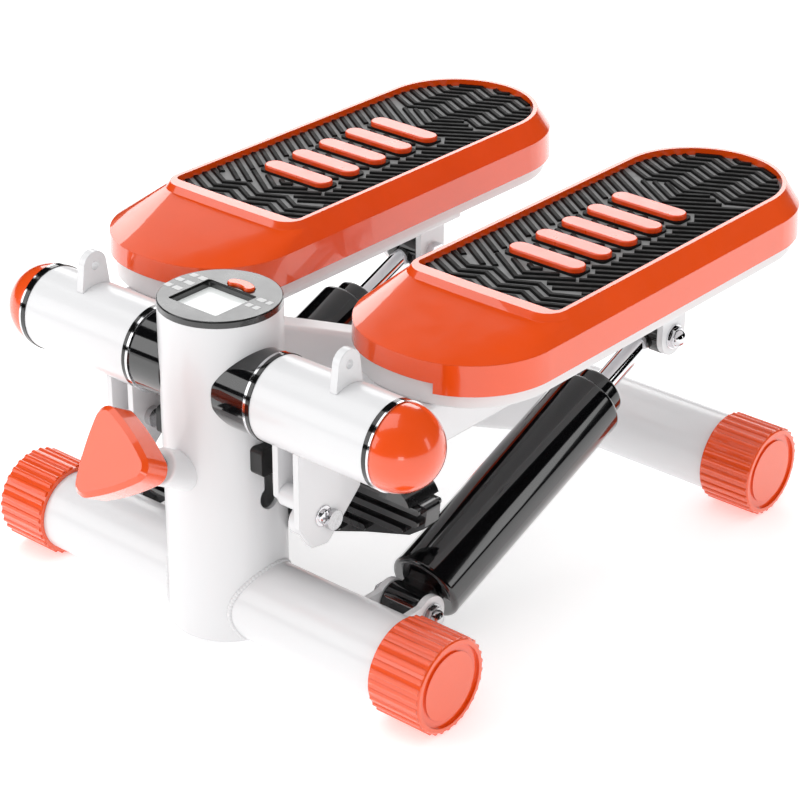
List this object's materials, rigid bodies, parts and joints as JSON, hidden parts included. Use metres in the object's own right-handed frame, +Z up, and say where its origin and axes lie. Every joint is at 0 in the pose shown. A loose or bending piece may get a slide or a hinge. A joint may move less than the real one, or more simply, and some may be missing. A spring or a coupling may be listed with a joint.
{
  "type": "stepper",
  "caption": "Compact mini stepper with two coupled pedals on a tubular frame, hydraulic cylinders, a rocker, a step adjuster knob and a round display.",
  "frame": {"origin": "on the floor under the middle of the overall length and width", "axes": "+X to the right of the user, +Y from the display column to the heels, +Z up"},
  "size_m": [0.332, 0.4848, 0.2133],
  "materials": {
    "frame_white": "gloss white powder coat",
    "tray_white": "gloss white moulded plastic",
    "orange_plastic": "gloss orange moulded plastic",
    "orange_rubber": "satin orange rubber",
    "mat_rubber": "matt black ribbed rubber",
    "black_gloss": "gloss black paint",
    "black_plastic": "semi-gloss black glass-filled plastic",
    "black_steel": "black oxide steel",
    "chrome": "polished chrome",
    "zinc_steel": "bright zinc",
    "bush_nylon": "natural nylon",
    "bezel_grey": "satin dark grey",
    "display_glass": "clear glass over a pale display",
    "board_green": "green circuit board"
  },
  "bodies": {
    "root": {"front_crossbar": "frame_white", "rear_crossbar": "frame_white", "column": "frame_white", "centre_beam": "frame_white", "front_cap_right": "orange_plastic", "front_cap_left": "orange_plastic", "rear_cap_right": "orange_plastic", "rear_cap_left": "orange_plastic", "cylinder_clevis_right": "frame_white", "cylinder_clevis_left": "frame_white", "clevis_bolts": "zinc_steel", "pivot_shaft": "zinc_steel", "shaft_nuts": "zinc_steel", "pivot_collars": "black_gloss", "display_bezel": "bezel_grey", "display_screen": "display_glass", "display_board": "board_green", "stop_blocks": "mat_rubber", "knob_boss": "frame_white", "rocker_bracket": "black_steel", "rocker_pin": "black_steel"},
    "adjuster": {"knob": "orange_plastic", "knob_screw": "black_steel"},
    "reset_button": {"reset_button": "orange_plastic"},
    "rocker": {"rocker_beam": "black_plastic", "rocker_pads": "black_plastic"},
    "pedal_right": {"hub_tube_right": "frame_white", "hub_rings_right": "chrome", "hub_bushes_right": "bush_nylon", "hub_dome_right": "orange_plastic", "band_ear_right": "frame_white", "stop_lug_right": "frame_white", "pedal_arm_right": "frame_white", "shock_bracket_right": "frame_white", "shock_bolt_right": "chrome", "pedal_tray_right": "tray_white", "pedal_shell_right": "orange_plastic", "pedal_mat_right": "mat_rubber", "grip_bars_right": "orange_rubber", "pedal_fasteners_right": "zinc_steel"},
    "cylinder_right": {"cylinder_barrel_right": "black_gloss", "cylinder_gland_right": "black_gloss"},
    "rod_right": {"piston_rod_right": "chrome"},
    "pedal_left": {"hub_tube_left": "frame_white", "hub_rings_left": "chrome", "hub_bushes_left": "bush_nylon", "hub_dome_left": "orange_plastic", "band_ear_left": "frame_white", "stop_lug_left": "frame_white", "pedal_arm_left": "frame_white", "shock_bracket_left": "frame_white", "shock_bolt_left": "chrome", "pedal_tray_left": "tray_white", "pedal_shell_left": "orange_plastic", "pedal_mat_left": "mat_rubber", "grip_bars_left": "orange_rubber", "pedal_fasteners_left": "zinc_steel"},
    "cylinder_left": {"cylinder_barrel_left": "black_gloss", "cylinder_gland_left": "black_gloss"},
    "rod_left": {"piston_rod_left": "chrome"}
  },
  "joints": [
    {"name": "pedal_right_hinge", "type": "hinge", "parent": "root", "child": "pedal_right", "pos_m": [0.09625, -0.14674, 0.1666], "axis": [1, 0, 0], "range_deg": [-11, 11]},
    {"name": "cylinder_right_tilt", "type": "hinge", "parent": "root", "child": "cylinder_right", "pos_m": [0.09625, -0.09494, 0.0295], "axis": [1, 0, 0], "range_deg": [-12, 12]},
    {"name": "rod_right_slide", "type": "slide", "parent": "cylinder_right", "child": "rod_right", "axis": [0, 0.9297, 0.3683], "range_m": [-0.03, 0.03]},
    {"name": "pedal_left_hinge", "type": "hinge", "parent": "root", "child": "pedal_left", "pos_m": [-0.09625, -0.14674, 0.1666], "axis": [1, 0, 0], "range_deg": [-11, 11]},
    {"name": "cylinder_left_tilt", "type": "hinge", "parent": "root", "child": "cylinder_left", "pos_m": [-0.09625, -0.09494, 0.0295], "axis": [1, 0, 0], "range_deg": [-12, 12]},
    {"name": "rod_left_slide", "type": "slide", "parent": "cylinder_left", "child": "rod_left", "axis": [0, 0.9297, 0.3683], "range_m": [-0.03, 0.03]},
    {"name": "rocker_swing", "type": "hinge", "parent": "root", "child": "rocker", "pos_m": [0, -0.08594, 0.078], "axis": [0, 1, 0], "range_deg": [-8, 8]},
    {"name": "adjuster_turn", "type": "hinge", "parent": "root", "child": "adjuster", "pos_m": [0, -0.1939, 0.127], "axis": [0, -0.866, 0.5], "range_deg": [-540, 540]},
    {"name": "reset_press", "type": "slide", "parent": "root", "child": "reset_button", "axis": [0, 0, -1], "range_m": [0, 0.0012], "stiffness_N_per_m": 300, "springref_m": -0.001}
  ],
  "couplings": [
    {"joint": "cylinder_right_tilt", "follows": "pedal_right_hinge", "ratio": 0.99},
    {"joint": "rod_right_slide", "follows": "pedal_right_hinge", "m_per_rad": 0.146},
    {"joint": "pedal_left_hinge", "follows": "pedal_right_hinge", "ratio": -1},
    {"joint": "cylinder_left_tilt", "follows": "pedal_right_hinge", "ratio": -0.99},
    {"joint": "rod_left_slide", "follows": "pedal_right_hinge", "m_per_rad": -0.146},
    {"joint": "rocker_swing", "follows": "pedal_right_hinge", "ratio": -0.69091}
  ]
}
